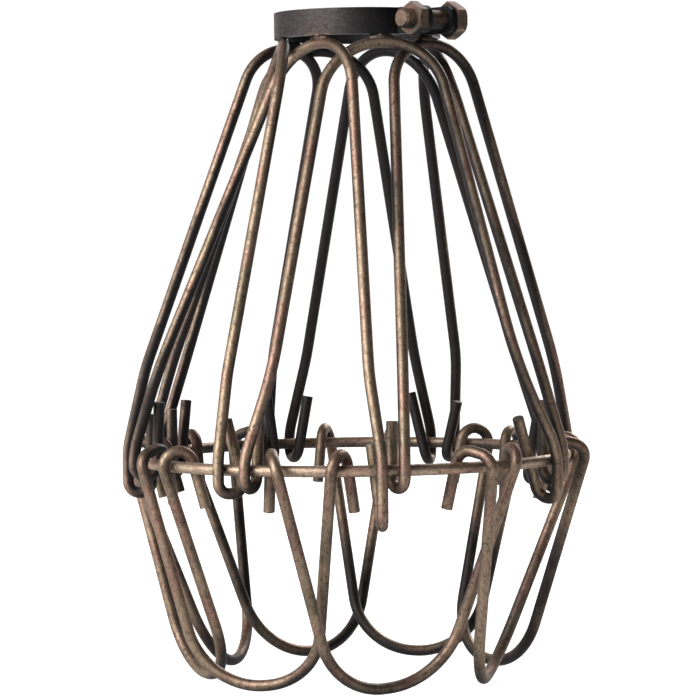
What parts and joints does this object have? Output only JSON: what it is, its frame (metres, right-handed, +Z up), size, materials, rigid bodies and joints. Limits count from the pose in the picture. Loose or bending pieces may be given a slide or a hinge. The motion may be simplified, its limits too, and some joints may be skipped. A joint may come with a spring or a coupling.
{
  "type": "wire cage lampshade",
  "caption": "Open wire cage lampshade: a split clamp collar for a lamp holder, arched wires hooked on a waist ring, and hinged wire petals that close it below.",
  "frame": {"origin": "centre of the collar's bore, half way up the collar, where it clamps the lamp holder", "axes": "+Z up along the collar's bore, away from the cage; -Y is the front, the side that the picture shows; +X is to the right seen from the front"},
  "size_m": [0.1257, 0.1262, 0.1805],
  "materials": {
    "wire_iron": "antique bronze, rubbed through to brown and tan on the lit faces",
    "petal_iron": "antique bronze, rubbed through to brown and tan on the lit faces",
    "ring_iron": "antique bronze, worn pale where the hooks ride",
    "collar_iron": "near black bronze",
    "bolt_iron": "antique bronze with rubbed edges"
  },
  "bodies": {
    "cage": {"clamp_collar": "collar_iron", "clamp_bolt": "bolt_iron", "clamp_nut": "bolt_iron", "waist_ring": "ring_iron", "upper_wire_1": "wire_iron", "upper_wire_2": "wire_iron", "upper_wire_3": "wire_iron", "upper_wire_4": "wire_iron", "upper_wire_5": "wire_iron", "upper_wire_6": "wire_iron", "upper_wire_7": "wire_iron", "upper_wire_8": "wire_iron"},
    "petal_1": {"petal_1": "petal_iron"},
    "petal_2": {"petal_2": "petal_iron"},
    "petal_3": {"petal_3": "petal_iron"},
    "petal_4": {"petal_4": "petal_iron"},
    "petal_5": {"petal_5": "petal_iron"},
    "petal_6": {"petal_6": "petal_iron"},
    "petal_7": {"petal_7": "petal_iron"},
    "petal_8": {"petal_8": "petal_iron"}
  },
  "joints": [
    {"name": "petal_1_hinge", "type": "hinge", "parent": "cage", "child": "petal_1", "pos_m": [-0.02997, -0.04175, -0.116], "axis": [-0.8363, 0.5483, 0], "range_deg": [-5, 50]},
    {"name": "petal_2_hinge", "type": "hinge", "parent": "cage", "child": "petal_2", "pos_m": [0.00766, -0.04726, -0.116], "axis": [-0.9772, -0.2122, 0], "range_deg": [-5, 50]},
    {"name": "petal_3_hinge", "type": "hinge", "parent": "cage", "child": "petal_3", "pos_m": [0.0411, -0.02251, -0.116], "axis": [-0.4579, -0.889, 0], "range_deg": [-5, 50]},
    {"name": "petal_4_hinge", "type": "hinge", "parent": "cage", "child": "petal_4", "pos_m": [0.04267, 0.01537, -0.116], "axis": [0.3214, -0.9469, 0], "range_deg": [-5, 50]},
    {"name": "petal_5_hinge", "type": "hinge", "parent": "cage", "child": "petal_5", "pos_m": [0.01583, 0.04679, -0.116], "axis": [0.9304, -0.3665, 0], "range_deg": [-5, 50]},
    {"name": "petal_6_hinge", "type": "hinge", "parent": "cage", "child": "petal_6", "pos_m": [-0.01912, 0.04602, -0.116], "axis": [0.9412, 0.3379, 0], "range_deg": [-5, 50]},
    {"name": "petal_7_hinge", "type": "hinge", "parent": "cage", "child": "petal_7", "pos_m": [-0.04581, 0.02753, -0.116], "axis": [0.5373, 0.8434, 0], "range_deg": [-5, 50]},
    {"name": "petal_8_hinge", "type": "hinge", "parent": "cage", "child": "petal_8", "pos_m": [-0.05267, -0.00906, -0.116], "axis": [-0.1779, 0.984, 0], "range_deg": [-5, 50]}
  ],
  "couplings": [
    {"joint": "petal_2_hinge", "follows": "petal_1_hinge", "ratio": 1},
    {"joint": "petal_3_hinge", "follows": "petal_1_hinge", "ratio": 1},
    {"joint": "petal_4_hinge", "follows": "petal_1_hinge", "ratio": 1},
    {"joint": "petal_5_hinge", "follows": "petal_1_hinge", "ratio": 1},
    {"joint": "petal_6_hinge", "follows": "petal_1_hinge", "ratio": 1},
    {"joint": "petal_7_hinge", "follows": "petal_1_hinge", "ratio": 1},
    {"joint": "petal_8_hinge", "follows": "petal_1_hinge", "ratio": 1}
  ]
}
